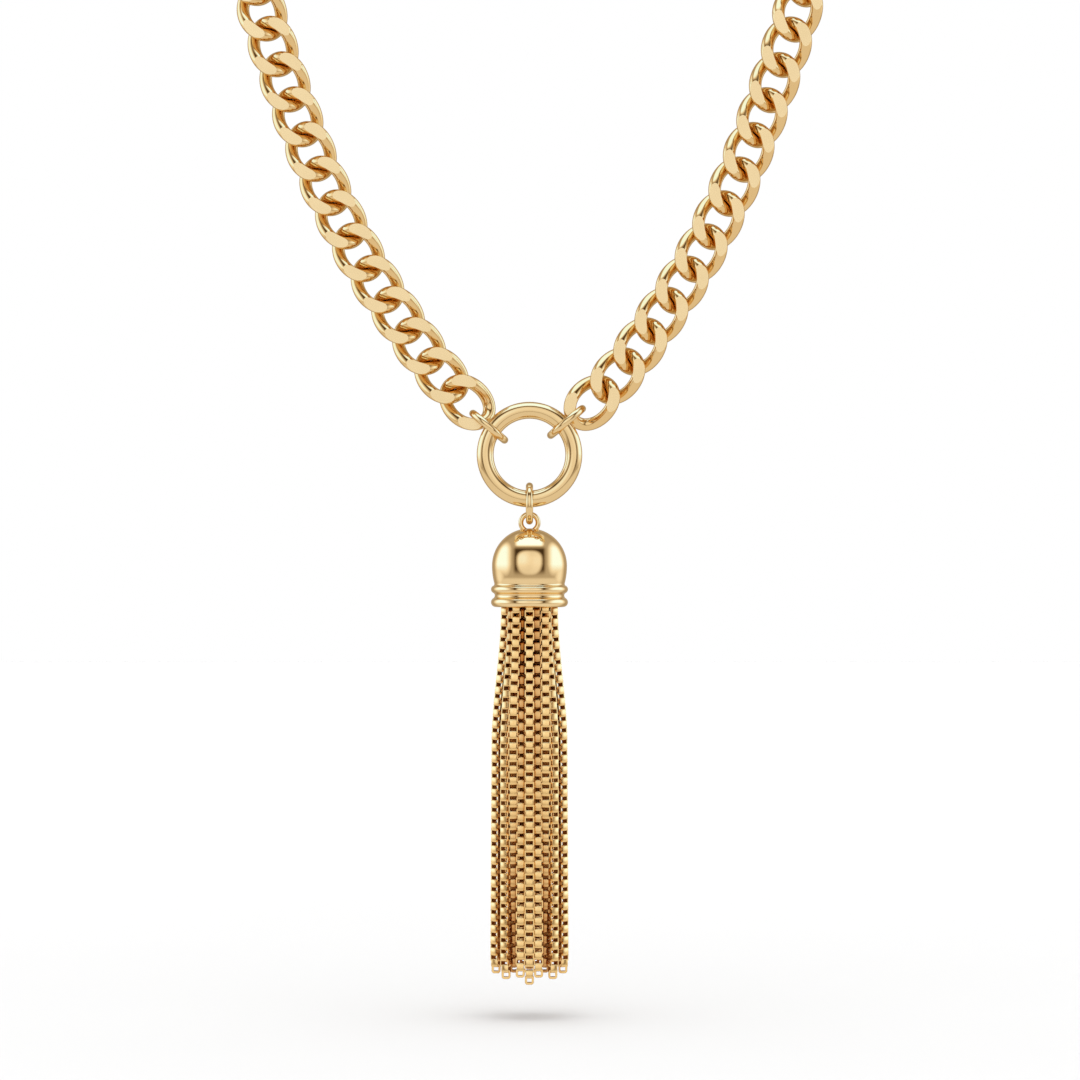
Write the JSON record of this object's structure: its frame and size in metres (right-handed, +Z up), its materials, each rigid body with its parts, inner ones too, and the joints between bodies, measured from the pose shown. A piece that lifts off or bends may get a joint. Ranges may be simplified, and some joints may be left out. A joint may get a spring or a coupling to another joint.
{
  "type": "tassel necklace",
  "caption": "Curb-link neck chain whose two halves meet at a round ring, with a bell-capped tassel of box chains hanging from a bail.",
  "frame": {"origin": "middle of the clasp's inner face, where the necklace lies on the nape of the neck", "axes": "+Z up, front of the necklace towards -Y, +X towards the wearer's left, tassel hanging down"},
  "size_m": [0.1284, 0.1127, 0.2273],
  "materials": {
    "chain_gold": "polished gold plate with satin cut flats",
    "ring_gold": "polished gold plate",
    "cap_gold": "mirror-polished gold plate",
    "fringe_gold": "polished gold plate",
    "clasp_gold": "polished gold plate"
  },
  "bodies": {
    "necklace": {"clasp": "clasp_gold", "chain_left": "chain_gold", "chain_right": "chain_gold", "jump_ring_left": "ring_gold", "jump_ring_right": "ring_gold", "centre_ring": "ring_gold"},
    "bail": {"bail": "ring_gold"},
    "tassel": {"cap": "cap_gold", "fringe": "fringe_gold"}
  },
  "joints": [
    {"name": "bail_swing", "type": "hinge", "parent": "necklace", "child": "bail", "pos_m": [0, -0.09875, -0.13598], "axis": [1, 0, 0], "range_deg": [-90, 90]},
    {"name": "tassel_swing", "type": "hinge", "parent": "bail", "child": "tassel", "pos_m": [0, -0.09875, -0.13996], "axis": [0, 1, 0], "range_deg": [-45, 45]}
  ]
}
